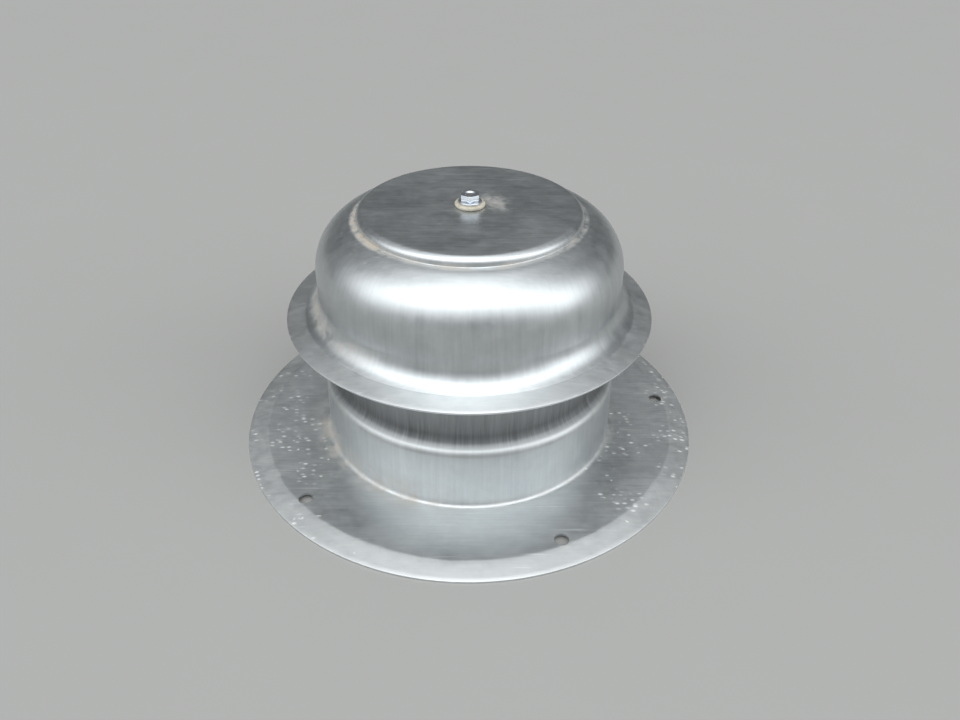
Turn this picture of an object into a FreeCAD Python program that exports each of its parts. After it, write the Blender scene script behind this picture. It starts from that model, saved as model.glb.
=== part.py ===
import FreeCAD, Part
import Sketcher
import os

# Roof vent cover for a caravan or motorhome, in millimetres.
#
# A drawn aluminium base (flange, collar, neck) stands over the vent pipe. A drawn aluminium cap
# hangs over the neck like a hat. One hex screw through the middle of the cap pulls it down on a
# hat-shaped strap, which two rivets hold to the ledge inside the neck's mouth.
#
# The origin is the centre of the flange's lower edge, where it meets the roof, and +Z is up.

DIMENSIONS = [
    # base: one drawn sheet
    ("base_gauge", 0.8),
    ("flange_radius", 88.9),
    ("flange_height", 2.5),
    ("rim_edge", 0.85),
    ("rim_crease_radius", 81.0),
    ("collar_foot_radius", 56.4),
    ("collar_top_radius", 55.9),
    ("collar_height", 26.2),
    ("neck_foot_height", 29.2),
    ("neck_radius", 52.0),
    ("neck_height", 60.0),
    ("ledge_opening_radius", 44.0),
    ("foot_bend", 1.8),
    ("shoulder_bend", 3.5),
    ("neck_corner_bend", 5.0),
    ("neck_mouth_bend", 1.8),
    # screw holes in the flange
    ("mounting_hole_radius", 2.6),
    ("mounting_hole_circle", 78.5),
    ("mounting_hole_start", 5.6),
    ("mounting_hole_count", 5),
    # cap: one drawn sheet
    ("cap_gauge", 0.8),
    ("skirt_edge_radius", 67.7),
    ("skirt_edge_height", 53.4),
    ("skirt_crease_radius", 60.9),
    ("skirt_crease_height", 55.0),
    ("cap_wall_radius", 55.6),
    ("flare_corner_height", 58.3),
    ("flare_bend", 9.0),
    ("dome_height", 89.6),
    ("dome_bend", 17.8),
    ("plateau_radius", 40.2),
    ("plateau_top_height", 92.6),
    ("plateau_edge_bend", 2.8),
    ("cap_hole_radius", 2.4),
    # strap across the neck's mouth
    ("strap_gauge", 1.2),
    ("strap_width", 16.0),
    ("strap_half_span", 49.2),
    ("strap_leg_offset", 36.0),
    ("strap_bend", 1.8),
    ("strap_hole_radius", 2.4),
    # rivets between the strap's feet and the ledge
    ("rivet_offset", 46.4),
    ("rivet_shank_radius", 1.6),
    ("rivet_hole_radius", 1.65),
    ("rivet_head_radius", 2.6),
    ("rivet_head_rise", 1.2),
    ("rivet_tail_radius", 2.2),
    ("rivet_tail_rise", 0.9),
    # nut under the strap
    ("nut_half_width", 4.35),
    ("nut_height", 3.2),
    ("nut_bore_radius", 2.13),
    # screw and its sealing washer
    ("washer_radius", 5.4),
    ("washer_hole_radius", 2.15),
    ("washer_height", 1.4),
    ("screw_radius", 2.08),
    ("screw_length", 12.7),
    ("screw_flange_radius", 4.15),
    ("screw_flange_height", 0.8),
    ("hex_half_width", 3.175),
    ("hex_height", 2.3),
    ("hex_recess_radius", 2.2),
    ("hex_recess_depth", 0.5),
    ("screw_tip_chamfer", 0.5),
]

doc = FreeCAD.newDocument("RoofVentCover")
sheet = doc.addObject("Spreadsheet::Sheet", "Sizes")


def fill_sheet():
    """Write the driving dimensions into the sheet, one named cell a row."""
    for row, (alias, value) in enumerate(DIMENSIONS, 1):
        sheet.set("A%d" % row, alias)
        sheet.set("B%d" % row, str(value))
        sheet.setAlias("B%d" % row, alias)
    doc.recompute()


def worked_out(formula):
    """The number that a formula of the sheet's cells gives."""
    return float(sheet.evalExpression(formula))


def new_body(label):
    """An empty body whose label is the sub-part's name."""
    body = doc.addObject("PartDesign::Body", label)
    body.Label = label
    return body


def origin_plane(body, role):
    """One of the body's own origin planes."""
    return next(item for item in body.Origin.OriginFeatures if item.Role == role)


def new_sketch(body, name, role):
    """A sketch on one of the body's origin planes."""
    sketch = body.newObject("Sketcher::SketchObject", name)
    sketch.AttachmentSupport = [(origin_plane(body, role), "")]
    sketch.MapMode = "FlatFace"
    return sketch


def bind_distance(sketch, kind, geometry, point, formula):
    """Tie one coordinate of a point to a formula; a plain zero ties it to the axis."""
    if formula == "0":
        axis = -2 if kind == "DistanceX" else -1
        sketch.addConstraint(Sketcher.Constraint("PointOnObject", geometry, point, axis))
        return
    start = worked_out(formula)
    index = sketch.addConstraint(Sketcher.Constraint(kind, -1, 1, geometry, point, start))
    sketch.setExpression("Constraints[%d]" % index, formula)


def draw_outline(sketch, corners):
    """A closed outline of straight lines through corners given as (across, up) formulas."""
    places = [FreeCAD.Vector(worked_out(across), worked_out(up), 0) for across, up in corners]
    count = len(corners)
    for index in range(count):
        sketch.addGeometry(Part.LineSegment(places[index], places[(index + 1) % count]))
    for index in range(count):
        following = (index + 1) % count
        sketch.addConstraint(Sketcher.Constraint("Coincident", index, 2, following, 1))
    for index, (across, up) in enumerate(corners):
        bind_distance(sketch, "DistanceX", index, 1, across)
        bind_distance(sketch, "DistanceY", index, 1, up)
    doc.recompute()


def draw_circle(sketch, across, up, radius):
    """A circle whose centre and radius follow formulas."""
    centre = FreeCAD.Vector(worked_out(across), worked_out(up), 0)
    circle = sketch.addGeometry(Part.Circle(centre, FreeCAD.Vector(0, 0, 1), worked_out(radius)))
    index = sketch.addConstraint(Sketcher.Constraint("Radius", circle, worked_out(radius)))
    sketch.setExpression("Constraints[%d]" % index, radius)
    bind_distance(sketch, "DistanceX", circle, 3, across)
    bind_distance(sketch, "DistanceY", circle, 3, up)


def turn(body, name, corners, feature="PartDesign::Revolution"):
    """Turn an outline, given as (radius, height) corners, a full circle about the Z axis."""
    sketch = new_sketch(body, name + "_outline", "XZ_Plane")
    draw_outline(sketch, corners)
    turned = body.newObject(feature, name)
    turned.Profile = sketch
    turned.ReferenceAxis = (sketch, ["V_Axis"])
    turned.Angle = 360
    doc.recompute()
    return turned


def ring_edge(feature, radius, height):
    """The name of the circular edge with this radius at this height."""
    for number, edge in enumerate(feature.Shape.Edges, 1):
        curve = edge.Curve
        if not isinstance(curve, Part.Circle):
            continue
        if abs(curve.Radius - radius) < 0.01 and abs(curve.Center.z - height) < 0.01:
            return "Edge%d" % number
    raise ValueError("no ring of radius %.2f at height %.2f" % (radius, height))


def straight_edge(feature, across, height):
    """The name of the edge that runs along Y at this X and this height."""
    for number, edge in enumerate(feature.Shape.Edges, 1):
        box = edge.BoundBox
        on_line = abs(box.Center.x - across) < 0.01 and abs(box.Center.z - height) < 0.01
        if on_line and box.YLength > 1 and box.XLength < 0.01 and box.ZLength < 0.01:
            return "Edge%d" % number
    raise ValueError("no edge along Y at %.2f, %.2f" % (across, height))


def bend(body, name, base, radius, height, bend_radius):
    """Round the ring-shaped corner at this radius and height, all given as formulas."""
    rounded = body.newObject("PartDesign::Fillet", name)
    rounded.Base = (base, [ring_edge(base, worked_out(radius), worked_out(height))])
    rounded.setExpression("Radius", bend_radius)
    doc.recompute()
    return rounded


def open_below(body, name, base, height, gauge):
    """Hollow a solid to a sheet of this gauge, open at its lowest face."""
    low = worked_out(height)
    faces = [
        "Face%d" % number
        for number, face in enumerate(base.Shape.Faces, 1)
        if abs(face.BoundBox.ZMax - low) < 0.001
    ]
    shell = body.newObject("PartDesign::Thickness", name)
    shell.Base = (base, faces)
    shell.setExpression("Value", gauge)
    shell.Reversed = True
    shell.Join = "Intersection"
    doc.recompute()
    return shell


def cut_through(body, name, sketch):
    """Cut a sketch on the XY plane upwards through the whole body."""
    pocket = body.newObject("PartDesign::Pocket", name)
    pocket.Profile = sketch
    pocket.Type = "ThroughAll"
    pocket.Midplane = True
    doc.recompute()
    return pocket


def make_base():
    """Flange with a turned-down rim, a collar, a sloping shoulder and a neck with a ledge."""
    body = new_body("vent_base")
    step = turn(body, "base_form", [
        ("0", "0"),
        ("Sizes.flange_radius", "0"),
        ("Sizes.flange_radius", "Sizes.rim_edge"),
        ("Sizes.rim_crease_radius", "Sizes.flange_height"),
        ("Sizes.collar_foot_radius", "Sizes.flange_height"),
        ("Sizes.collar_top_radius", "Sizes.collar_height"),
        ("Sizes.neck_radius", "Sizes.neck_foot_height"),
        ("Sizes.neck_radius", "Sizes.neck_height"),
        ("0", "Sizes.neck_height"),
    ])
    bends = [
        ("neck_mouth", "Sizes.neck_radius", "Sizes.neck_height", "Sizes.neck_mouth_bend"),
        ("neck_corner", "Sizes.neck_radius", "Sizes.neck_foot_height", "Sizes.neck_corner_bend"),
        ("shoulder", "Sizes.collar_top_radius", "Sizes.collar_height", "Sizes.shoulder_bend"),
        ("foot", "Sizes.collar_foot_radius", "Sizes.flange_height", "Sizes.foot_bend"),
    ]
    for name, radius, height, bend_radius in bends:
        step = bend(body, name, step, radius, height, bend_radius)
    open_below(body, "base_sheet", step, "0", "Sizes.base_gauge")

    mouth = new_sketch(body, "mouth_outline", "XY_Plane")
    draw_circle(mouth, "0", "0", "Sizes.ledge_opening_radius")
    cut_through(body, "mouth", mouth)

    holes = new_sketch(body, "rivet_holes_outline", "XY_Plane")
    for side in ("-", ""):
        draw_circle(holes, side + "Sizes.rivet_offset", "0", "Sizes.rivet_hole_radius")
    cut_through(body, "rivet_holes", holes)

    hole = new_sketch(body, "mounting_hole_outline", "XY_Plane")
    draw_circle(
        hole,
        "Sizes.mounting_hole_circle * cos(Sizes.mounting_hole_start)",
        "Sizes.mounting_hole_circle * sin(Sizes.mounting_hole_start)",
        "Sizes.mounting_hole_radius",
    )
    first = cut_through(body, "mounting_hole", hole)
    ring = body.newObject("PartDesign::PolarPattern", "mounting_holes")
    ring.Originals = [first]
    ring.Axis = (hole, ["N_Axis"])
    ring.Angle = 360
    ring.setExpression("Occurrences", "Sizes.mounting_hole_count")
    body.Tip = ring
    doc.recompute()
    return body


def make_cap():
    """Round cap with a domed shoulder, a raised flat centre and a flared, turned-down skirt."""
    body = new_body("vent_cap")
    step = turn(body, "cap_form", [
        ("0", "Sizes.skirt_edge_height"),
        ("Sizes.skirt_edge_radius", "Sizes.skirt_edge_height"),
        ("Sizes.skirt_crease_radius", "Sizes.skirt_crease_height"),
        ("Sizes.cap_wall_radius", "Sizes.flare_corner_height"),
        ("Sizes.cap_wall_radius", "Sizes.dome_height"),
        ("0", "Sizes.dome_height"),
    ])
    step = bend(
        body, "dome", step, "Sizes.cap_wall_radius", "Sizes.dome_height", "Sizes.dome_bend")
    step = bend(
        body, "flare", step, "Sizes.cap_wall_radius", "Sizes.flare_corner_height",
        "Sizes.flare_bend")
    step = turn(body, "plateau_form", [
        ("0", "Sizes.dome_height - Sizes.dome_bend / 2"),
        ("Sizes.plateau_radius", "Sizes.dome_height - Sizes.dome_bend / 2"),
        ("Sizes.plateau_radius", "Sizes.plateau_top_height"),
        ("0", "Sizes.plateau_top_height"),
    ])
    step = bend(
        body, "plateau_edge", step, "Sizes.plateau_radius", "Sizes.plateau_top_height",
        "Sizes.plateau_edge_bend")
    open_below(body, "cap_sheet", step, "Sizes.skirt_edge_height", "Sizes.cap_gauge")

    hole = new_sketch(body, "screw_hole_outline", "XY_Plane")
    draw_circle(hole, "0", "0", "Sizes.cap_hole_radius")
    body.Tip = cut_through(body, "screw_hole", hole)
    return body


def strap_corners():
    """The strap's outline: along its upper side from left to right, then back underneath."""
    foot = "Sizes.neck_height"
    land = "(Sizes.plateau_top_height - Sizes.cap_gauge)"
    upper = [
        ("Sizes.strap_half_span", foot + " + Sizes.strap_gauge"),
        ("Sizes.strap_leg_offset", foot + " + Sizes.strap_gauge"),
        ("Sizes.strap_leg_offset", land),
    ]
    lower = [
        ("(Sizes.strap_leg_offset - Sizes.strap_gauge)", land + " - Sizes.strap_gauge"),
        ("(Sizes.strap_leg_offset - Sizes.strap_gauge)", foot),
        ("Sizes.strap_half_span", foot),
    ]
    left = [("-" + across, up) for across, up in upper]
    left_back = [("-" + across, up) for across, up in reversed(lower)]
    return left + upper[::-1] + lower[::-1] + left_back[::-1]


def round_strap(body, pad):
    """Round the strap's four bends, tight on their inner side and by a gauge more outside."""
    leg = worked_out("Sizes.strap_leg_offset")
    gauge = worked_out("Sizes.strap_gauge")
    foot = worked_out("Sizes.neck_height")
    land = worked_out("Sizes.plateau_top_height - Sizes.cap_gauge")
    step = pad
    for name, inset, low, high in (("outer_bends", gauge, 0, 0), ("inner_bends", 0, gauge, gauge)):
        places = [(leg - inset, foot + low), (leg - gauge + inset, land - high)]
        rounded = body.newObject("PartDesign::Fillet", name)
        rounded.Base = (step, [
            straight_edge(step, side * across, height)
            for side in (-1, 1) for across, height in places
        ])
        radius = "Sizes.strap_bend" if inset else "Sizes.strap_bend - Sizes.strap_gauge"
        rounded.setExpression("Radius", radius)
        doc.recompute()
        step = rounded


def make_strap():
    """Hat-shaped strap of galvanised steel that carries the screw over the neck's mouth."""
    body = new_body("bridge_strap")
    sketch = new_sketch(body, "strap_outline", "XZ_Plane")
    draw_outline(sketch, strap_corners())
    pad = body.newObject("PartDesign::Pad", "strap_form")
    pad.Profile = sketch
    pad.Midplane = True
    pad.setExpression("Length", "Sizes.strap_width")
    doc.recompute()
    round_strap(body, pad)

    holes = new_sketch(body, "strap_holes_outline", "XY_Plane")
    draw_circle(holes, "0", "0", "Sizes.strap_hole_radius")
    for side in ("-", ""):
        draw_circle(holes, side + "Sizes.rivet_offset", "0", "Sizes.rivet_hole_radius")
    body.Tip = cut_through(body, "strap_holes", holes)
    return body


def dome_radius(rim, rise):
    """The radius of the sphere whose cap has this rim radius and rise, as a formula."""
    return "((%s)^2 + (%s)^2) / (2 * %s)" % (rim, rise, rise)


def make_rivet(label, side):
    """A blind rivet with a domed head above the strap's foot and a flat tail under the ledge."""
    foot_top = "Sizes.neck_height + Sizes.strap_gauge"
    ledge_under = "Sizes.neck_height - Sizes.base_gauge"
    rim = "Sizes.rivet_head_radius"
    rise = "Sizes.rivet_head_rise"
    sphere_radius = dome_radius(rim, rise)

    head = doc.addObject("Part::Sphere", label + "_head")
    head.setExpression("Radius", sphere_radius)
    head.setExpression("Angle1", "asin(1 - %s / (%s))" % (rise, sphere_radius))
    head.setExpression("Placement.Base.z", "%s + %s - %s" % (foot_top, rise, sphere_radius))

    shank = doc.addObject("Part::Cylinder", label + "_shank")
    shank.setExpression("Radius", "Sizes.rivet_shank_radius")
    shank.setExpression("Height", "Sizes.strap_gauge + Sizes.base_gauge + %s / 2" % rise)
    shank.setExpression("Placement.Base.z", ledge_under)

    tail = doc.addObject("Part::Cylinder", label + "_tail")
    tail.setExpression("Radius", "Sizes.rivet_tail_radius")
    tail.setExpression("Height", "Sizes.rivet_tail_rise")
    tail.setExpression("Placement.Base.z", ledge_under + " - Sizes.rivet_tail_rise")

    rivet = doc.addObject("Part::MultiFuse", label)
    rivet.Label = label
    rivet.Shapes = [head, shank, tail]
    rivet.Refine = True
    rivet.setExpression("Placement.Base.x", side + "Sizes.rivet_offset")
    doc.recompute()
    return rivet


def make_nut():
    """A hex nut welded under the strap, bored to the screw's outside diameter."""
    land_under = "Sizes.plateau_top_height - Sizes.cap_gauge - Sizes.strap_gauge"
    prism = doc.addObject("Part::Prism", "nut_hexagon")
    prism.Polygon = 6
    prism.setExpression("Circumradius", "Sizes.nut_half_width / cos(30)")
    prism.setExpression("Height", "Sizes.nut_height")

    bore = doc.addObject("Part::Cylinder", "nut_bore")
    bore.setExpression("Radius", "Sizes.nut_bore_radius")
    bore.setExpression("Height", "Sizes.nut_height")

    nut = doc.addObject("Part::Cut", "strap_nut")
    nut.Label = "strap_nut"
    nut.Base = prism
    nut.Tool = bore
    nut.setExpression("Placement.Base.z", land_under + " - Sizes.nut_height")
    doc.recompute()
    return nut


def make_washer():
    """The flat sealing washer between the screw's head and the cap."""
    body = new_body("sealing_washer")
    sketch = new_sketch(body, "washer_outline", "XY_Plane")
    draw_circle(sketch, "0", "0", "Sizes.washer_radius")
    draw_circle(sketch, "0", "0", "Sizes.washer_hole_radius")
    pad = body.newObject("PartDesign::Pad", "washer_disc")
    pad.Profile = sketch
    pad.setExpression("Length", "Sizes.washer_height")
    body.setExpression("Placement.Base.z", "Sizes.plateau_top_height")
    doc.recompute()
    return body


def make_screw():
    """Hex head screw with a flange under the hexagon, a shallow recess on top and a shank."""
    body = new_body("cap_screw")
    flange = body.newObject("PartDesign::AdditiveCylinder", "screw_flange")
    flange.setExpression("Radius", "Sizes.screw_flange_radius")
    flange.setExpression("Height", "Sizes.screw_flange_height")

    hexagon = body.newObject("PartDesign::AdditivePrism", "screw_hexagon")
    hexagon.Polygon = 6
    hexagon.setExpression("Circumradius", "Sizes.hex_half_width / cos(30)")
    hexagon.setExpression("Height", "Sizes.screw_flange_height + Sizes.hex_height")
    doc.recompute()

    recess = body.newObject("PartDesign::SubtractiveCylinder", "screw_recess")
    recess.setExpression("Radius", "Sizes.hex_recess_radius")
    recess.setExpression("Height", "Sizes.hex_recess_depth")
    recess.setExpression(
        "Placement.Base.z",
        "Sizes.screw_flange_height + Sizes.hex_height - Sizes.hex_recess_depth",
    )

    shank = body.newObject("PartDesign::AdditiveCylinder", "screw_shank")
    shank.setExpression("Radius", "Sizes.screw_radius")
    shank.setExpression("Height", "Sizes.screw_length")
    shank.setExpression("Placement.Base.z", "-Sizes.screw_length")
    doc.recompute()

    tip = body.newObject("PartDesign::Chamfer", "screw_tip")
    tip_height = worked_out("-Sizes.screw_length")
    tip.Base = (shank, [ring_edge(shank, worked_out("Sizes.screw_radius"), tip_height)])
    tip.setExpression("Size", "Sizes.screw_tip_chamfer")
    body.Tip = tip
    body.setExpression("Placement.Base.z", "Sizes.plateau_top_height + Sizes.washer_height")
    doc.recompute()
    return body


def check_model(subparts):
    """Stop with a plain message if anything in the document failed."""
    doc.recompute()
    for item in doc.Objects:
        if "Invalid" in item.State or "Error" in item.State:
            raise RuntimeError("%s did not build" % item.Name)
    for subpart in subparts:
        if subpart.Shape.isNull() or not subpart.Shape.isValid():
            raise RuntimeError("%s has no valid shape" % subpart.Label)


def write_steps(subparts):
    """Write each sub-part to its own file, named for its label."""
    os.makedirs("parts", exist_ok=True)
    for subpart in subparts:
        subpart.Shape.exportStep("parts/%s.step" % subpart.Label)
        print("%-16s %10.1f mm3" % (subpart.Label, subpart.Shape.Volume))


fill_sheet()
SUBPARTS = [
    make_base(),
    make_cap(),
    make_strap(),
    make_rivet("rivet_left", "-"),
    make_rivet("rivet_right", ""),
    make_nut(),
    make_washer(),
    make_screw(),
]
check_model(SUBPARTS)
write_steps(SUBPARTS)
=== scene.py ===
import math

import bmesh
import bpy
from mathutils import Euler, Matrix, Vector, noise


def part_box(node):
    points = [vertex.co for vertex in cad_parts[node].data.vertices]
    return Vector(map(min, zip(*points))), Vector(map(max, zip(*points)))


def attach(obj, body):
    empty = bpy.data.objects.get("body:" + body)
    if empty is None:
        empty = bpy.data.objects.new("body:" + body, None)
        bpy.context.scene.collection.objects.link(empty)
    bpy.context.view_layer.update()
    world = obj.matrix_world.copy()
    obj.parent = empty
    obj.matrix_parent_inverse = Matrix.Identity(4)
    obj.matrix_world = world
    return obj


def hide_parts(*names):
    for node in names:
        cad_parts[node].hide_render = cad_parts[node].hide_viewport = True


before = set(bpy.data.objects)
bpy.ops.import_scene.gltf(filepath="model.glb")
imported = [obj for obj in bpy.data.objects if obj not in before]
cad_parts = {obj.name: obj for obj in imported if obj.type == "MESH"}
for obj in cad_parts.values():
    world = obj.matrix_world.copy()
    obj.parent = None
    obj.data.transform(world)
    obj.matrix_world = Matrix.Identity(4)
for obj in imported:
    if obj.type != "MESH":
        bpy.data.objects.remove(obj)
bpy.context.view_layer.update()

MM = 0.001


# ---- Base ----------------------------------------------------------------------------------
# The base is one disc of soft aluminium sheet, drawn in steps into a flange, a collar and a
# narrower neck, whose mouth is pierced to leave a ledge. The rim is turned down a little, so the
# flange stands on its edge, and five screw holes are punched just inside the rim's crease.

_, base_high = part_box("vent_base")
flange_radius = base_high.x
neck_height = base_high.z
base_gauge = 0.8 * MM
rim_edge = 0.85 * MM
rim_edge_bend = 0.2 * MM
rim_crease_radius = 81.0 * MM
rim_crease_bend = 6.0 * MM
flange_height = 2.5 * MM
collar_foot_radius = 56.4 * MM
collar_foot_bend = 1.8 * MM
collar_top_radius = 55.9 * MM
collar_height = 26.2 * MM
shoulder_bend = 3.5 * MM
neck_radius = 52.0 * MM
neck_foot_height = 29.2 * MM
neck_foot_bend = 5.0 * MM
neck_top_bend = 1.8 * MM
mouth_radius = 44.0 * MM
sheared_edge_round = 0.12 * MM


def fold_section(bm, corners, closed=False, run=1.6 * MM):
    """Lay out a section as a wire through (radius, height, bend radius, steps) corners.

    Each corner is rounded to its bend radius, and long straight runs are divided, so that the
    turned piece has even faces. A sheet's section is an open line, and a solid's is closed.
    """
    points = [Vector((radius, 0, height)) for radius, height, _, _ in corners]
    verts = [bm.verts.new(point) for point in points]
    for start, end in zip(verts, verts[1:]):
        bm.edges.new((start, end))
    if closed:
        bm.edges.new((verts[-1], verts[0]))
    for index in range(1, len(corners) - 1):
        bend, steps = corners[index][2:]
        turn = (points[index] - points[index - 1]).angle(points[index + 1] - points[index])
        bmesh.ops.bevel(
            bm, geom=[verts[index]], offset=bend * math.tan(turn / 2), segments=steps,
            profile=0.5, affect="VERTICES", material=-1)
    for edge in [edge for edge in bm.edges if edge.calc_length() > 1.5 * run]:
        bmesh.ops.subdivide_edges(bm, edges=[edge], cuts=int(edge.calc_length() / run))


def turn_section(bm, steps):
    """Turn the wire a full circle about the piece's own axis, as it is formed over a round die."""
    bmesh.ops.spin(
        bm, geom=bm.verts[:] + bm.edges[:], cent=(0, 0, 0), axis=(0, 0, 1), angle=2 * math.pi,
        steps=steps, use_merge=True)
    bmesh.ops.remove_doubles(bm, verts=bm.verts[:], dist=0.001 * MM)
    bmesh.ops.recalc_face_normals(bm, faces=bm.faces[:])


def dish_in(bm, depth, wavelength, true_within):
    """Press a turned sheet in here and there by up to a depth, as drawing and handling leave it.

    Within a radius of the middle it stays true, because the screw clamps it there.
    """
    bm.normal_update()
    for vert in bm.verts:
        free = min(1, max(0, vert.co.xy.length / true_within - 1))
        press = 0.5 - 0.5 * noise.noise(vert.co / wavelength)
        vert.co -= vert.normal * depth * free * press


def finish_piece(bm, name, material):
    """Make an object of the mesh, at the origin, with smooth faces and one material."""
    for face in bm.faces:
        face.smooth = True
    mesh = bpy.data.meshes.new(name)
    bm.to_mesh(mesh)
    bm.free()
    mesh.materials.append(material)
    piece = bpy.data.objects.new(name, mesh)
    bpy.context.scene.collection.objects.link(piece)
    return piece


def give_gauge(piece, gauge, edge_round):
    """Thicken a skin inwards to the sheet's gauge and take the sharpness off its cut edges."""
    wall = piece.modifiers.new("gauge", "SOLIDIFY")
    wall.thickness = gauge
    wall.offset = -1
    wall.use_even_offset = True
    edges = piece.modifiers.new("edge_round", "BEVEL")
    edges.width = edge_round
    edges.segments = 2
    edges.limit_method = "ANGLE"
    edges.angle_limit = math.radians(50)


hole_radius = 2.6 * MM
hole_circle = 78.5 * MM
hole_count = 5
first_hole = math.radians(5.6)


def punch_hole(bm, angle, sides=24):
    """Punch a round hole in the flange: cut along its sides, then drop the blank inside them."""
    centre = Vector((hole_circle * math.cos(angle), hole_circle * math.sin(angle), 0))

    def faces_within(reach):
        return [
            face for face in bm.faces
            if (face.calc_center_median().xy - centre.xy).length < reach
            and face.calc_center_median().z < 2 * flange_height
        ]

    for side in range(sides):
        out = Matrix.Rotation(side * 2 * math.pi / sides, 3, "Z") @ Vector((1, 0, 0))
        near = faces_within(1.4 * hole_radius)
        near_edges = {edge for face in near for edge in face.edges}
        near_verts = {vert for face in near for vert in face.verts}
        bmesh.ops.bisect_plane(
            bm, geom=near + list(near_edges) + list(near_verts), dist=0.002 * MM,
            plane_co=centre + out * hole_radius, plane_no=out)
    inside = [
        face for face in faces_within(hole_radius)
        if all((vert.co.xy - centre.xy).length < 1.02 * hole_radius for vert in face.verts)
    ]
    bmesh.ops.delete(bm, geom=inside, context="FACES")


def rgb(code):
    """A hex sRGB colour as the linear values that the shader wants."""
    channels = [int(code[start:start + 2], 16) / 255 for start in (1, 3, 5)]
    linear = [c / 12.92 if c <= 0.04045 else ((c + 0.055) / 1.055) ** 2.4 for c in channels]
    return (*linear, 1)


def add_node(tree, kind, inputs=(), **settings):
    """Add a shader node with its settings, set or link its inputs, and give back its outputs."""
    node = tree.nodes.new("ShaderNode" + kind)
    for name, value in settings.items():
        setattr(node, name, value)
    for name, value in dict(inputs).items():
        if isinstance(value, bpy.types.NodeSocket):
            tree.links.new(value, node.inputs[name])
        else:
            node.inputs[name].default_value = value
    return node.outputs


def new_material(name):
    """A material whose node tree is still empty, and that tree."""
    material = bpy.data.materials.new(name)
    material.use_nodes = True
    material.node_tree.nodes.clear()
    return material, material.node_tree


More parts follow.
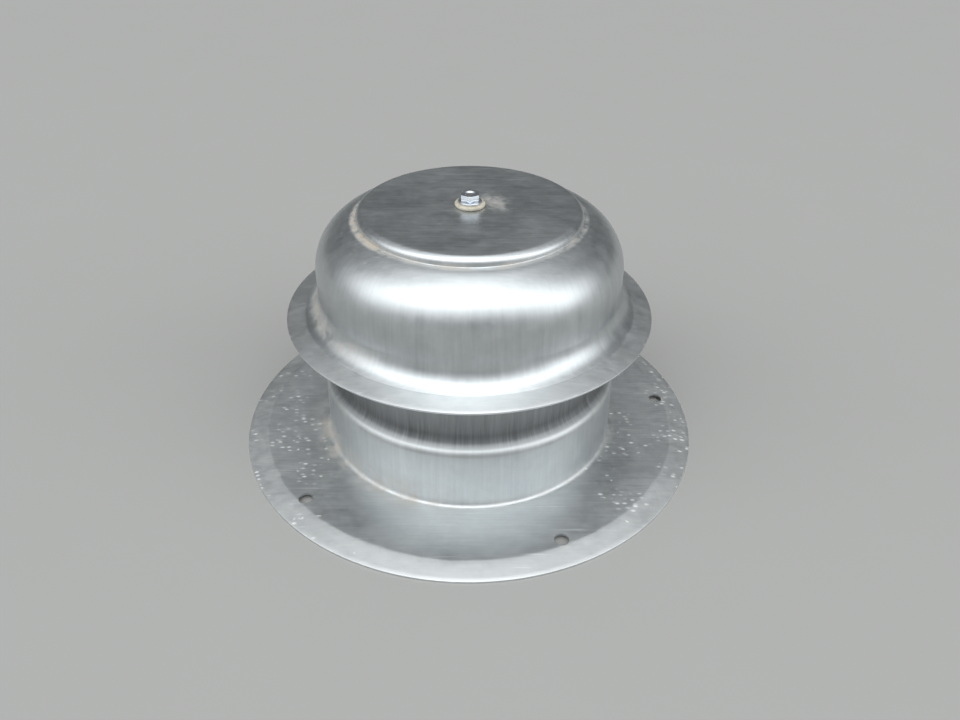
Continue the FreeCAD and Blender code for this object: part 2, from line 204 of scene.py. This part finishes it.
def drawn_aluminium(name, seed, greys, gloss, rubbed_from, nicks, painted_shade, stains):
    """Mill-finish aluminium sheet after drawing, dulled by handling and weather.

    It is grey and softly glossy rather than bright, and cloudy with oxide. Drawn walls carry
    faint lines along the draw, and flats keep the straight lines of the rolling mill. The turned
    edge, from a radius outwards, is rubbed paler. seed shifts the patterns, greys are
    the clean and the clouded metal's colours, gloss is the least and the most roughness, nicks
    is how many bright nicks there are, and painted_shade is the two heights between which shade
    is painted in as dark grey, for the shade under the cap. Each stain is (radius, height,
    reach, strength, heading), and goes all round if it has no heading.
    """
    material, tree = new_material(name)
    place = add_node(tree, "TexCoord")["Object"]
    parts = add_node(tree, "SeparateXYZ", {0: place})
    level = add_node(tree, "VectorMath", {0: place, 1: (1, 1, 0)}, operation="MULTIPLY")[0]
    radius = add_node(tree, "VectorMath", {0: level}, operation="LENGTH")["Value"]
    outward = add_node(tree, "VectorMath", {0: level}, operation="NORMALIZE")[0]
    normal = add_node(tree, "NewGeometry")["Normal"]
    upness = add_node(tree, "Math", {
        0: add_node(tree, "SeparateXYZ", {0: normal})["Z"]}, operation="ABSOLUTE")[0]
    flatness = add_node(tree, "MapRange", {
        "Value": upness, "From Min": 0.55, "From Max": 0.97}, interpolation_type="SMOOTHSTEP")[0]

    # Lines along the draw: about 0.7 mm apart round the wall, and 30 mm long.
    around = add_node(tree, "VectorMath", {0: outward, "Scale": 55 * MM}, operation="SCALE")[0]
    slow_rise = add_node(tree, "VectorMath", {
        0: place, 1: (0, 0, 0.05)}, operation="MULTIPLY")[0]
    draw_place = add_node(tree, "VectorMath", {0: around, 1: slow_rise}, operation="ADD")[0]
    draw_lines = add_node(tree, "TexNoise", {
        "Vector": draw_place, "Scale": 1 / (1.4 * MM), "Detail": 4.0, "Roughness": 0.65})[0]

    # Mill lines, straight along the sheet on the flats: 0.4 mm apart and 10 mm long.
    mill_place = add_node(tree, "Mapping", {
        "Vector": place, "Location": (seed, seed, 0), "Rotation": (0, 0, math.radians(6)),
        "Scale": (0.06, 1, 1)})[0]
    mill_lines = add_node(tree, "TexNoise", {
        "Vector": mill_place, "Scale": 1 / (0.8 * MM), "Detail": 3.0, "Roughness": 0.6})[0]
    lines = add_node(tree, "Mix", {
        "Factor": flatness, 2: draw_lines, 3: mill_lines}, data_type="FLOAT")[0]

    # A few long bright scratches among the mill lines, 20 to 40 mm long.
    scratch_place = add_node(tree, "Mapping", {
        "Vector": place, "Location": (0, seed, 0), "Rotation": (0, 0, math.radians(9)),
        "Scale": (0.03, 1, 1)})[0]
    scratch_noise = add_node(tree, "TexNoise", {
        "Vector": scratch_place, "Scale": 1 / (1.1 * MM), "Detail": 1.0})[0]
    scratches = add_node(tree, "MapRange", {
        "Value": scratch_noise, "From Min": 0.70, "From Max": 0.80, "To Max": 0.35,
    }, interpolation_type="SMOOTHSTEP")[0]

    # The oxide film: clouds about 16 mm across, with a finer mottle of 3 mm in them.
    film_place = add_node(tree, "Mapping", {
        "Vector": place, "Location": (seed, 0, seed), "Scale": (0.7, 1, 0.6)})[0]
    film = add_node(tree, "TexNoise", {
        "Vector": film_place, "Scale": 1 / (16 * MM), "Detail": 6.0, "Roughness": 0.62,
        "Distortion": 0.5})[0]
    mottle = add_node(tree, "TexNoise", {
        "Vector": film_place, "Scale": 1 / (3 * MM), "Detail": 4.0, "Roughness": 0.65})[0]
    mottled_film = add_node(tree, "Math", {
        0: mottle, 1: 0.6, 2: film}, operation="MULTIPLY_ADD")[0]
    cloud = add_node(tree, "MapRange", {
        "Value": mottled_film, "From Min": 0.6, "From Max": 1.0})[0]

    # Bright nicks from handling: dashes about 2 mm by 0.8 mm, crowded in patches at the sides.
    nick_place = add_node(tree, "Mapping", {
        "Vector": place, "Location": (seed, 0, 0), "Rotation": (0, 0, math.radians(-8)),
        "Scale": (0.5, 1, 1)})[0]
    nick_cells = add_node(tree, "TexVoronoi", {
        "Vector": nick_place, "Scale": 1 / (1.7 * MM), "Randomness": 1.0},
        voronoi_dimensions="2D")
    nick_shape = add_node(tree, "MapRange", {
        "Value": nick_cells["Distance"], "From Min": 0.40, "From Max": 0.05,
    }, interpolation_type="SMOOTHSTEP")[0]
    nick_draw = add_node(tree, "SeparateColor", {"Color": nick_cells["Color"]})
    crowd_noise = add_node(tree, "TexNoise", {
        "Vector": place, "Scale": 1 / (15 * MM), "Detail": 2.0})[0]
    crowd = add_node(tree, "MapRange", {
        "Value": crowd_noise, "From Min": 0.42, "From Max": 0.62, "To Max": nicks,
    }, interpolation_type="SMOOTHSTEP")[0]
    sideways = add_node(tree, "Math", {0: parts["X"]}, operation="ABSOLUTE")[0]
    sides = add_node(tree, "MapRange", {
        "Value": sideways, "From Min": 38 * MM, "From Max": 60 * MM,
    }, interpolation_type="SMOOTHSTEP")[0]
    share = add_node(tree, "Math", {0: crowd, 1: sides}, operation="MULTIPLY")[0]
    picked = add_node(tree, "Math", {0: nick_draw[0], 1: share}, operation="LESS_THAN")[0]
    marks = add_node(tree, "Math", {0: nick_shape, 1: picked}, operation="MULTIPLY")[0]
    marks = add_node(tree, "Math", {0: marks, 1: nick_draw[1]}, operation="MULTIPLY")[0]
    marks = add_node(tree, "Math", {0: marks, 1: scratches}, operation="MAXIMUM")[0]
    marks = add_node(tree, "Math", {0: marks, 1: flatness}, operation="MULTIPLY")[0]

    # The turned edge is rubbed. Its inner border wanders by a millimetre.
    wander = add_node(tree, "Math", {0: film, 1: 3 * MM, 2: radius}, operation="MULTIPLY_ADD")[0]
    rubbed = add_node(tree, "MapRange", {
        "Value": wander, "From Min": rubbed_from + 1.0 * MM, "From Max": rubbed_from + 1.9 * MM,
    }, interpolation_type="SMOOTHSTEP")[0]
    rub_depth = add_node(tree, "MapRange", {
        "Value": mottle, "From Min": 0.3, "From Max": 0.6, "To Min": 0.7})[0]
    rubbed = add_node(tree, "Math", {0: rubbed, 1: rub_depth}, operation="MULTIPLY")[0]

    # Painted shade under the cap: dark grey painted on, streaked along the draw, and fading higher
    # up.
    low, high = painted_shade
    shade_share = add_node(tree, "MapRange", {
        "Value": parts["Z"], "From Min": low, "From Max": high,
    }, interpolation_type="SMOOTHSTEP")[0]
    shade_fade = add_node(tree, "MapRange", {
        "Value": parts["Z"], "From Min": high, "From Max": high + 14 * MM,
        "To Min": 1.0, "To Max": 0.5})[0]
    streaks = add_node(tree, "MapRange", {
        "Value": draw_lines, "From Min": 0.25, "From Max": 0.7, "To Min": 1.0, "To Max": 0.75})[0]
    for fade in (shade_fade, streaks):
        shade_share = add_node(tree, "Math", {0: shade_share, 1: fade}, operation="MULTIPLY")[0]

    # Grime and dried sealant settle in the corners, broken into crumbs of a few millimetres.
    crumb_noise = add_node(tree, "TexNoise", {
        "Vector": place, "Scale": 1 / (7 * MM), "Detail": 6.0, "Roughness": 0.7})[0]
    crumbs = add_node(tree, "MapRange", {
        "Value": crumb_noise, "From Min": 0.36, "From Max": 0.62,
    }, interpolation_type="SMOOTHSTEP")[0]
    grime = 0.0
    section_place = add_node(tree, "CombineXYZ", {"X": radius, "Y": parts["Z"]})[0]
    for ring_radius, ring_height, reach, strength, heading in stains:
        apart = add_node(tree, "VectorMath", {
            0: section_place, 1: (ring_radius, ring_height, 0)}, operation="DISTANCE")["Value"]
        near = add_node(tree, "MapRange", {
            "Value": apart, "From Min": reach, "From Max": 0.2 * reach, "To Max": strength,
        }, interpolation_type="SMOOTHSTEP")[0]
        if heading is not None:
            side = Matrix.Rotation(math.radians(heading), 3, "Z") @ Vector((1, 0, 0))
            facing = add_node(tree, "VectorMath", {
                0: outward, 1: side}, operation="DOT_PRODUCT")["Value"]
            on_side = add_node(tree, "MapRange", {
                "Value": facing, "From Min": 0.6, "From Max": 0.95,
            }, interpolation_type="SMOOTHSTEP")[0]
            near = add_node(tree, "Math", {0: near, 1: on_side}, operation="MULTIPLY")[0]
        grime = add_node(tree, "Math", {
            0: near, 1: crumbs, 2: grime}, operation="MULTIPLY_ADD", use_clamp=True)[0]

    # The colours, from the metal up to what lies on it, and the painted shade under the cap.
    colour = add_node(tree, "Mix", {
        "Factor": cloud, 6: rgb(greys[0]), 7: rgb(greys[1])}, data_type="RGBA")[2]
    line_shade = add_node(tree, "MapRange", {
        "Value": lines, "From Min": 0.3, "From Max": 0.7, "To Min": 0.92, "To Max": 1.04})[0]
    colour = add_node(tree, "Mix", {
        "Factor": 1.0, 6: colour, 7: line_shade}, data_type="RGBA", blend_type="MULTIPLY")[2]
    rubbed_share = add_node(tree, "Math", {0: rubbed, 1: 0.4}, operation="MULTIPLY")[0]
    for cover, code in [
            (rubbed_share, "#e4e6e6"),
            (marks, "#f6f6f6"),
            (shade_share, "#585a5c"),
            (grime, "#b4aca0")]:
        colour = add_node(tree, "Mix", {
            "Factor": cover, 6: colour, 7: rgb(code)}, data_type="RGBA")[2]

    # Oxide, rubbing, nicks and grime are rougher than the clean metal, and scatter light that
    # it would mirror.
    roughness = add_node(tree, "MapRange", {
        "Value": cloud, "To Min": gloss[0], "To Max": gloss[1]})[0]
    for layer, amount in [
            (lines, 0.12), (rubbed, 0.02), (marks, 0.1), (shade_share, 0.1), (grime, 0.3)]:
        roughness = add_node(tree, "Math", {
            0: layer, 1: amount, 2: roughness}, operation="MULTIPLY_ADD")[0]
    metallic = 1.0
    for layer, amount in [(cloud, -0.06), (rubbed, -0.03), (marks, -0.4), (grime, -0.8)]:
        metallic = add_node(tree, "Math", {
            0: layer, 1: amount, 2: metallic}, operation="MULTIPLY_ADD", use_clamp=True)[0]
    relief = 0.0
    for layer, amount in [(lines, 0.3), (mottle, 0.2), (marks, 0.5)]:
        relief = add_node(tree, "Math", {
            0: layer, 1: amount, 2: relief}, operation="MULTIPLY_ADD")[0]
    bump = add_node(tree, "Bump", {
        "Height": relief, "Distance": 0.05 * MM, "Strength": 0.5})[0]
    shader = add_node(tree, "BsdfPrincipled", {
        "Base Color": colour, "Metallic": metallic, "Roughness": roughness, "Normal": bump})
    add_node(tree, "OutputMaterial", {"Surface": shader[0]})
    return material


base_metal = drawn_aluminium(
    "drawn_aluminium_base",
    seed=0.31,
    greys=("#c0c4c6", "#ccd0d1"),
    gloss=(0.33, 0.40),
    rubbed_from=rim_crease_radius,
    nicks=0.7,
    # Shade under the cap is painted dark grey from the shoulder up onto the neck.
    painted_shade=(collar_height - 0.1 * MM, collar_height + 2.8 * MM),
    stains=[
        (collar_foot_radius, flange_height, 4 * MM, 0.2, None),
        (collar_foot_radius, flange_height + 3 * MM, 9 * MM, 0.3, -142),
        (collar_foot_radius + 1 * MM, flange_height, 9 * MM, 0.25, 180),
    ])

bm = bmesh.new()
fold_section(bm, [
    (flange_radius, 0, 0, 0),
    (flange_radius, rim_edge, rim_edge_bend, 2),
    (rim_crease_radius, flange_height, rim_crease_bend, 3),
    (collar_foot_radius, flange_height, collar_foot_bend, 8),
    (collar_top_radius, collar_height, shoulder_bend, 10),
    (neck_radius, neck_foot_height, neck_foot_bend, 10),
    (neck_radius, neck_height, neck_top_bend, 8),
    (mouth_radius, neck_height, 0, 0),
])
turn_section(bm, steps=320)
dish_in(bm, depth=0.12 * MM, wavelength=30 * MM, true_within=mouth_radius)
for number in range(hole_count):
    punch_hole(bm, first_hole + number * 2 * math.pi / hole_count)
base_sheet = finish_piece(bm, "base_sheet", base_metal)
give_gauge(base_sheet, base_gauge, sheared_edge_round)
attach(base_sheet, "base")
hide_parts("vent_base")


# ---- Strap ---------------------------------------------------------------------------------
# A hat-shaped strap of galvanised steel strip bridges the neck's mouth and carries the screw.
# It is cut from coil, punched and folded, and the zinc on it shows large dull crystals.

strap_zinc, tree = new_material("galvanised_steel")
place = add_node(tree, "TexCoord")["Object"]
# The zinc's crystals are about 7 mm across, and its white rust comes in blooms of 5 mm.
crystal = add_node(tree, "TexVoronoi", {
    "Vector": place, "Scale": 1 / (7 * MM), "Randomness": 1.0})["Color"]
facet = add_node(tree, "SeparateColor", {"Color": crystal})[0]
bloom = add_node(tree, "TexNoise", {
    "Vector": place, "Scale": 1 / (5 * MM), "Detail": 5.0, "Roughness": 0.6})[0]
white_rust = add_node(tree, "MapRange", {
    "Value": bloom, "From Min": 0.58, "From Max": 0.72}, interpolation_type="SMOOTHSTEP")[0]
zinc = add_node(tree, "Mix", {
    "Factor": facet, 6: rgb("#a4a9ad"), 7: rgb("#c3c7ca")}, data_type="RGBA")[2]
colour = add_node(tree, "Mix", {
    "Factor": white_rust, 6: zinc, 7: rgb("#cfcfcb")}, data_type="RGBA")[2]
metallic = add_node(tree, "MapRange", {"Value": white_rust, "To Min": 1.0, "To Max": 0.3})[0]
dull_facet = add_node(tree, "Math", {0: facet, 1: 0.4, 2: bloom}, operation="MULTIPLY_ADD")[0]
roughness = add_node(tree, "MapRange", {
    "Value": dull_facet, "From Min": 0.3, "From Max": 1.1, "To Min": 0.36, "To Max": 0.62})[0]
bump = add_node(tree, "Bump", {"Height": bloom, "Distance": 0.04 * MM, "Strength": 0.5})[0]
shader = add_node(tree, "BsdfPrincipled", {
    "Base Color": colour, "Metallic": metallic, "Roughness": roughness, "Normal": bump})
add_node(tree, "OutputMaterial", {"Surface": shader[0]})


def dress_node(name, material):
    """Give a piece that keeps its own mesh its one material."""
    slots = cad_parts[name].data.materials
    slots.clear()
    slots.append(material)


dress_node("bridge_strap", strap_zinc)


# ---- Rivets --------------------------------------------------------------------------------
# Two aluminium blind rivets hold the strap's feet to the ledge, their domes outside and their
# squashed tails below. The setting tool leaves the domes satin, with fine scuffs.

rivet_metal, tree = new_material("rivet_aluminium")
place = add_node(tree, "TexCoord")["Object"]
# Scuffs from the tool are 0.5 mm across.
scuff = add_node(tree, "TexNoise", {
    "Vector": place, "Scale": 1 / (0.5 * MM), "Detail": 3.0, "Roughness": 0.6})[0]
colour = add_node(tree, "Mix", {
    "Factor": scuff, 6: rgb("#b9bdbf"), 7: rgb("#dfe0e0")}, data_type="RGBA")[2]
roughness = add_node(tree, "MapRange", {"Value": scuff, "To Min": 0.3, "To Max": 0.5})[0]
bump = add_node(tree, "Bump", {"Height": scuff, "Distance": 0.03 * MM, "Strength": 0.5})[0]
shader = add_node(tree, "BsdfPrincipled", {
    "Base Color": colour, "Metallic": 1.0, "Roughness": roughness, "Normal": bump})
add_node(tree, "OutputMaterial", {"Surface": shader[0]})
dress_node("rivet_left", rivet_metal)
dress_node("rivet_right", rivet_metal)


# ---- Nut -----------------------------------------------------------------------------------
# A steel hex nut is welded under the strap for the screw. It is cold formed and zinc plated,
# which gives a bright, slightly blue skin with fine pits and a chalky bloom where it is worn.


def zinc_plate(name, worn):
    """Bright zinc plate on cold-formed steel. worn is how far the chalky bloom has spread."""
    material, tree = new_material(name)
    place = add_node(tree, "TexCoord")["Object"]
    # The skin varies over 2 mm, and its pits are 0.25 mm across.
    skin = add_node(tree, "TexNoise", {
        "Vector": place, "Scale": 1 / (2 * MM), "Detail": 4.0, "Roughness": 0.6})[0]
    pits = add_node(tree, "TexNoise", {
        "Vector": place, "Scale": 1 / (0.25 * MM), "Detail": 2.0})[0]
    bloom = add_node(tree, "MapRange", {
        "Value": skin, "From Min": 0.72 - worn, "From Max": 0.86 - worn,
    }, interpolation_type="SMOOTHSTEP")[0]
    plate = add_node(tree, "Mix", {
        "Factor": skin, 6: rgb("#c2c9d2"), 7: rgb("#e0e4e8")}, data_type="RGBA")[2]
    colour = add_node(tree, "Mix", {
        "Factor": bloom, 6: plate, 7: rgb("#e9e9e6")}, data_type="RGBA")[2]
    metallic = add_node(tree, "MapRange", {"Value": bloom, "To Min": 1.0, "To Max": 0.4})[0]
    pitted = add_node(tree, "MapRange", {"Value": pits, "To Min": 0.14, "To Max": 0.30})[0]
    roughness = add_node(tree, "Math", {
        0: bloom, 1: 0.3, 2: pitted}, operation="MULTIPLY_ADD")[0]
    bump = add_node(tree, "Bump", {
        "Height": pits, "Distance": 0.02 * MM, "Strength": 0.4})[0]
    shader = add_node(tree, "BsdfPrincipled", {
        "Base Color": colour, "Metallic": metallic, "Roughness": roughness, "Normal": bump})
    add_node(tree, "OutputMaterial", {"Surface": shader[0]})
    return material


dress_node("strap_nut", zinc_plate("zinc_plate_nut", worn=0.05))


# ---- Cap -----------------------------------------------------------------------------------
# The cap is a second disc of the same sheet, drawn over a domed die. A raised flat in its middle
# stiffens it, its wall flares out into a skirt, and the skirt's edge is turned down so that rain
# drips clear of the neck. It is pierced once, in the middle, for the screw.

cap_low, cap_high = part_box("vent_cap")
skirt_edge_height = cap_low.z
skirt_edge_radius = cap_high.x
plateau_top = cap_high.z
cap_gauge = 0.8 * MM
screw_hole_radius = 2.4 * MM
clamped_radius = 9.0 * MM
skirt_crease_radius = 60.9 * MM
skirt_crease_height = 55.0 * MM
skirt_crease_bend = 0.6 * MM
flare_corner_height = 58.3 * MM
flare_bend = 9.0 * MM
cap_wall_radius = 55.6 * MM
dome_height = 89.6 * MM
dome_bend = 17.8 * MM
plateau_radius = 40.2 * MM
plateau_foot_bend = 0.3 * MM
plateau_edge_bend = 2.8 * MM

# The dome's arc has passed its top by the time it meets the plateau's foot.
foot_slope = math.asin((plateau_radius - cap_wall_radius + dome_bend) / dome_bend)
foot_height = dome_height - dome_bend * (1 - math.cos(foot_slope))
dome_corner = foot_height - (cap_wall_radius - plateau_radius) * math.tan(foot_slope)

cap_metal = drawn_aluminium(
    "drawn_aluminium_cap",
    seed=0.77,
    greys=("#bec3c5", "#c9cdcf"),
    gloss=(0.25, 0.30),
    rubbed_from=skirt_crease_radius,
    nicks=0.0,
    # The painted shade's heights lie above the cap, so no shade is painted on it.
    painted_shade=(plateau_top + 1 * MM, plateau_top + 2 * MM),
    stains=[
        (plateau_radius + 0.5 * MM, foot_height, 1.8 * MM, 0.5, None),
        (plateau_radius + 0.8 * MM, foot_height, 2.0 * MM, 0.7, 185),
        (cap_wall_radius + 1.5 * MM, flare_corner_height + 1 * MM, 5 * MM, 0.6, 190),
        (9 * MM, plateau_top, 7 * MM, 0.6, 18),
    ])

bm = bmesh.new()
fold_section(bm, [
    (screw_hole_radius, plateau_top, 0, 0),
    (plateau_radius, plateau_top, plateau_edge_bend, 10),
    (plateau_radius, foot_height, plateau_foot_bend, 3),
    (cap_wall_radius, dome_corner, dome_bend, 26),
    (cap_wall_radius, flare_corner_height, flare_bend, 14),
    (skirt_crease_radius, skirt_crease_height, skirt_crease_bend, 4),
    (skirt_edge_radius, skirt_edge_height, 0, 0),
])
turn_section(bm, steps=256)
dish_in(bm, depth=0.15 * MM, wavelength=24 * MM, true_within=clamped_radius)
cap_sheet = finish_piece(bm, "cap_sheet", cap_metal)
give_gauge(cap_sheet, cap_gauge, sheared_edge_round)
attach(cap_sheet, "cap")
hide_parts("vent_cap")


# ---- Sealing washer ------------------------------------------------------------------------
# A thick nylon washer keeps rain out of the screw's hole. It is punched from sheet, squeezed
# round at its edge by the screw, and yellowed and stained by years in the sun.

washer_low, washer_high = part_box("sealing_washer")
washer_hole = 2.15 * MM
squeeze = 0.6 * MM

nylon, tree = new_material("aged_nylon")
place = add_node(tree, "TexCoord")["Object"]
# Stains are about 3 mm across, and the weathered skin has a grain of 0.4 mm.
stain = add_node(tree, "TexNoise", {
    "Vector": place, "Scale": 1 / (3 * MM), "Detail": 5.0, "Roughness": 0.65})[0]
grain = add_node(tree, "TexNoise", {"Vector": place, "Scale": 1 / (0.4 * MM), "Detail": 2.0})[0]
stained = add_node(tree, "MapRange", {"Value": stain, "From Min": 0.3, "From Max": 0.68})[0]
colour = add_node(tree, "Mix", {
    "Factor": stained, 6: rgb("#c9c4b6"), 7: rgb("#938b7a")}, data_type="RGBA")[2]
roughness = add_node(tree, "MapRange", {"Value": grain, "To Min": 0.45, "To Max": 0.65})[0]
bump = add_node(tree, "Bump", {"Height": grain, "Distance": 0.05 * MM, "Strength": 0.5})[0]
shader = add_node(tree, "BsdfPrincipled", {
    "Base Color": colour, "Roughness": roughness, "IOR": 1.53, "Normal": bump})
add_node(tree, "OutputMaterial", {"Surface": shader[0]})

bm = bmesh.new()
fold_section(bm, [
    (washer_hole, washer_low.z, 0, 0),
    (washer_high.x, washer_low.z, squeeze, 6),
    (washer_high.x, washer_high.z, squeeze, 6),
    (washer_hole, washer_high.z, 0, 0),
], closed=True)
turn_section(bm, steps=72)
washer = finish_piece(bm, "nylon_washer", nylon)
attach(washer, "washer")
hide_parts("sealing_washer")


# ---- Screw ---------------------------------------------------------------------------------
# A hex washer-head machine screw in zinc-plated steel clamps the cap to the strap. Its head is
# cold formed in one blow, with rounded corners and a dish in its top, and its thread is rolled.

screw_low, screw_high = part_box("cap_screw")
head_low = washer_high.z
screw_flange_radius = screw_high.x
screw_flange_height = 0.8 * MM
screw_flange_edge = 0.6 * MM
hex_across_flats = 6.35 * MM
hex_foot = head_low + 0.3 * MM
hex_corner_round = 0.18 * MM
dish_radius = 2.2 * MM
dish_floor_share = 0.8
dish_depth = 0.5 * MM
thread_radius = 2.08 * MM
thread_depth = 0.42 * MM
thread_pitch = 25.4 * MM / 32
turn_steps = 24

bm = bmesh.new()
corner_radius = hex_across_flats / 2 / math.cos(math.radians(30))
bmesh.ops.create_circle(
    bm, segments=6, radius=corner_radius, matrix=Matrix.Translation((0, 0, hex_foot)))
bmesh.ops.subdivide_edges(bm, edges=bm.edges[:], cuts=7)
top = bmesh.ops.extrude_edge_only(bm, edges=bm.edges[:])["geom"]
top_verts = [item for item in top if isinstance(item, bmesh.types.BMVert)]
top_edges = [item for item in top if isinstance(item, bmesh.types.BMEdge)]
for vert in top_verts:
    vert.co.z = screw_high.z
dish = bmesh.ops.create_circle(
    bm, segments=48, radius=dish_radius, matrix=Matrix.Translation((0, 0, screw_high.z)))
dish_edges = list({edge for vert in dish["verts"] for edge in vert.link_edges})
bmesh.ops.triangle_fill(bm, edges=top_edges + dish_edges, use_beauty=True)
sunk = bmesh.ops.extrude_edge_only(bm, edges=dish_edges)["geom"]
for vert in [item for item in sunk if isinstance(item, bmesh.types.BMVert)]:
    vert.co.xy = vert.co.xy * dish_floor_share
    vert.co.z = vert.co.z - dish_depth
bmesh.ops.edgeloop_fill(bm, edges=[edge for edge in bm.edges if edge.is_boundary])
bmesh.ops.recalc_face_normals(bm, faces=bm.faces[:])
# The blow leaves every edge above the flange rounded.
blunted = [
    edge for edge in bm.edges
    if edge.calc_face_angle(0) > math.radians(35)
    and max(vert.co.z for vert in edge.verts) > head_low + screw_flange_height
]
bmesh.ops.bevel(
    bm, geom=blunted, offset=hex_corner_round, segments=3, profile=0.5, affect="EDGES",
    material=-1)

flange_bm = bmesh.new()
fold_section(flange_bm, [
    (0, head_low, 0, 0),
    (screw_flange_radius, head_low, 0.15 * MM, 3),
    (screw_flange_radius, head_low + screw_flange_edge, 0.2 * MM, 3),
    (0.8 * screw_flange_radius, head_low + screw_flange_height, 0.3 * MM, 2),
    (0, head_low + screw_flange_height, 0, 0),
], run=0.8 * MM)
turn_section(flange_bm, steps=64)

thread_bm = bmesh.new()
root_radius = thread_radius - thread_depth
thread_start = screw_low.z - 2 * thread_pitch
thread_turns = math.ceil((head_low - thread_start) / thread_pitch) + 1
# One turn of the thread, as (radius, share of the pitch): root, both sides of the crest, root.
thread_form = [(root_radius, 0), (thread_radius, 0.44), (thread_radius, 0.56), (root_radius, 1)]
wire = [
    thread_bm.verts.new((radius, 0, thread_start + share * thread_pitch))
    for radius, share in thread_form
]
for start, end in zip(wire, wire[1:]):
    thread_bm.edges.new((start, end))
bmesh.ops.spin(
    thread_bm, geom=thread_bm.verts[:] + thread_bm.edges[:], cent=(0, 0, 0), axis=(0, 0, 1),
    dvec=(0, 0, thread_pitch / turn_steps), angle=thread_turns * 2 * math.pi,
    steps=thread_turns * turn_steps)
bmesh.ops.remove_doubles(thread_bm, verts=thread_bm.verts[:], dist=0.002 * MM)
for height, side in [(screw_low.z, -1), (head_low + 0.2 * MM, 1)]:
    bmesh.ops.bisect_plane(
        thread_bm, geom=thread_bm.verts[:] + thread_bm.edges[:] + thread_bm.faces[:],
        dist=0.0001 * MM, plane_co=(0, 0, height), plane_no=(0, 0, side), clear_outer=True)
bmesh.ops.edgeloop_fill(thread_bm, edges=[edge for edge in thread_bm.edges if edge.is_boundary])
bmesh.ops.recalc_face_normals(thread_bm, faces=thread_bm.faces[:])
# The tip is chamfered at 45 degrees, so that it finds the nut.
for vert in thread_bm.verts:
    chamfer = root_radius - 0.1 * MM + (vert.co.z - screw_low.z)
    if vert.co.xy.length > chamfer:
        vert.co.xy = vert.co.xy.normalized() * chamfer

for part in (flange_bm, thread_bm):
    piece_mesh = bpy.data.meshes.new("screw_part")
    part.to_mesh(piece_mesh)
    part.free()
    bm.from_mesh(piece_mesh)
    bpy.data.meshes.remove(piece_mesh)
screw = finish_piece(bm, "hex_screw", zinc_plate("zinc_plate_screw", worn=0.12))
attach(screw, "screw")
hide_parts("cap_screw")


# ---- Floor, light and camera ---------------------------------------------------------------
# The cover stands on a plain pale floor in a dim room that grows brighter towards its ceiling.
# Soft lights with no edges stand overhead, in front and at both sides.

floor_paint, tree = new_material("floor_paint")
# Matt emulsion paint, a little uneven over 60 mm.
place = add_node(tree, "TexCoord")["Object"]
roller = add_node(tree, "TexNoise", {"Vector": place, "Scale": 1 / (60 * MM), "Detail": 2.0})[0]
colour = add_node(tree, "Mix", {
    "Factor": roller, 6: rgb("#9c9c9a"), 7: rgb("#9e9e9c")}, data_type="RGBA")[2]
shader = add_node(tree, "BsdfPrincipled", {"Base Color": colour, "Roughness": 0.7})
add_node(tree, "OutputMaterial", {"Surface": shader[0]})
bm = bmesh.new()
bmesh.ops.create_grid(bm, x_segments=1, y_segments=1, size=4)
floor = finish_piece(bm, "floor", floor_paint)


def way_to(heading, climb):
    """The direction at a heading, measured from +X towards +Y, and a climb, in degrees."""
    level = math.cos(math.radians(climb))
    return Vector((
        level * math.cos(math.radians(heading)),
        level * math.sin(math.radians(heading)),
        math.sin(math.radians(climb)),
    ))


world = bpy.data.worlds.new("room")
bpy.context.scene.world = world
world.use_nodes = True
tree = world.node_tree
tree.nodes.clear()
looking = add_node(tree, "TexCoord")["Generated"]
climb = add_node(tree, "SeparateXYZ", {0: looking})["Z"]
room_light = add_node(tree, "MapRange", {
    "Value": climb, "From Min": 0.45, "From Max": 1.0, "To Min": 0.17, "To Max": 0.55,
}, interpolation_type="SMOOTHSTEP")[0]
# Each soft light is (the way to it, how tight it is, how bright its middle is).
for way, tightness, brightness in [
        (way_to(90, 79), 30.0, 1.3),
        (way_to(-90, 60), 8.0, 2.4),
        (way_to(-135, 42), 13.0, 1.9),
        (way_to(-167, 24), 16.0, 1.8),
        (way_to(-42, 38), 13.0, 1.7),
        (way_to(-15, 16), 16.0, 2.2)]:
    toward = add_node(tree, "VectorMath", {
        0: looking, 1: way}, operation="DOT_PRODUCT")["Value"]
    falloff = add_node(tree, "Math", {
        0: toward, 1: tightness, 2: -tightness}, operation="MULTIPLY_ADD")[0]
    spread = add_node(tree, "Math", {0: falloff}, operation="EXPONENT")[0]
    room_light = add_node(tree, "Math", {
        0: spread, 1: brightness, 2: room_light}, operation="MULTIPLY_ADD")[0]
background = add_node(tree, "Background", {"Color": rgb("#f7f9fa"), "Strength": room_light})
add_node(tree, "OutputWorld", {"Surface": background[0]})

camera_data = bpy.data.cameras.new("camera")
camera_data.sensor_width = 36
camera_data.lens = 30.4
camera = bpy.data.objects.new("camera", camera_data)
bpy.context.scene.collection.objects.link(camera)
camera.location = (0, -264.5 * MM, 208.5 * MM)
look_down, look_right, tilt = math.radians(34.45), math.radians(0.88), math.radians(0.6)
camera_turn = Euler((math.pi / 2 - look_down, 0, -look_right)).to_matrix()
camera.rotation_euler = (camera_turn @ Matrix.Rotation(tilt, 3, "Z")).to_euler()
bpy.context.scene.camera = camera
bpy.context.scene.view_settings.view_transform = "Standard"
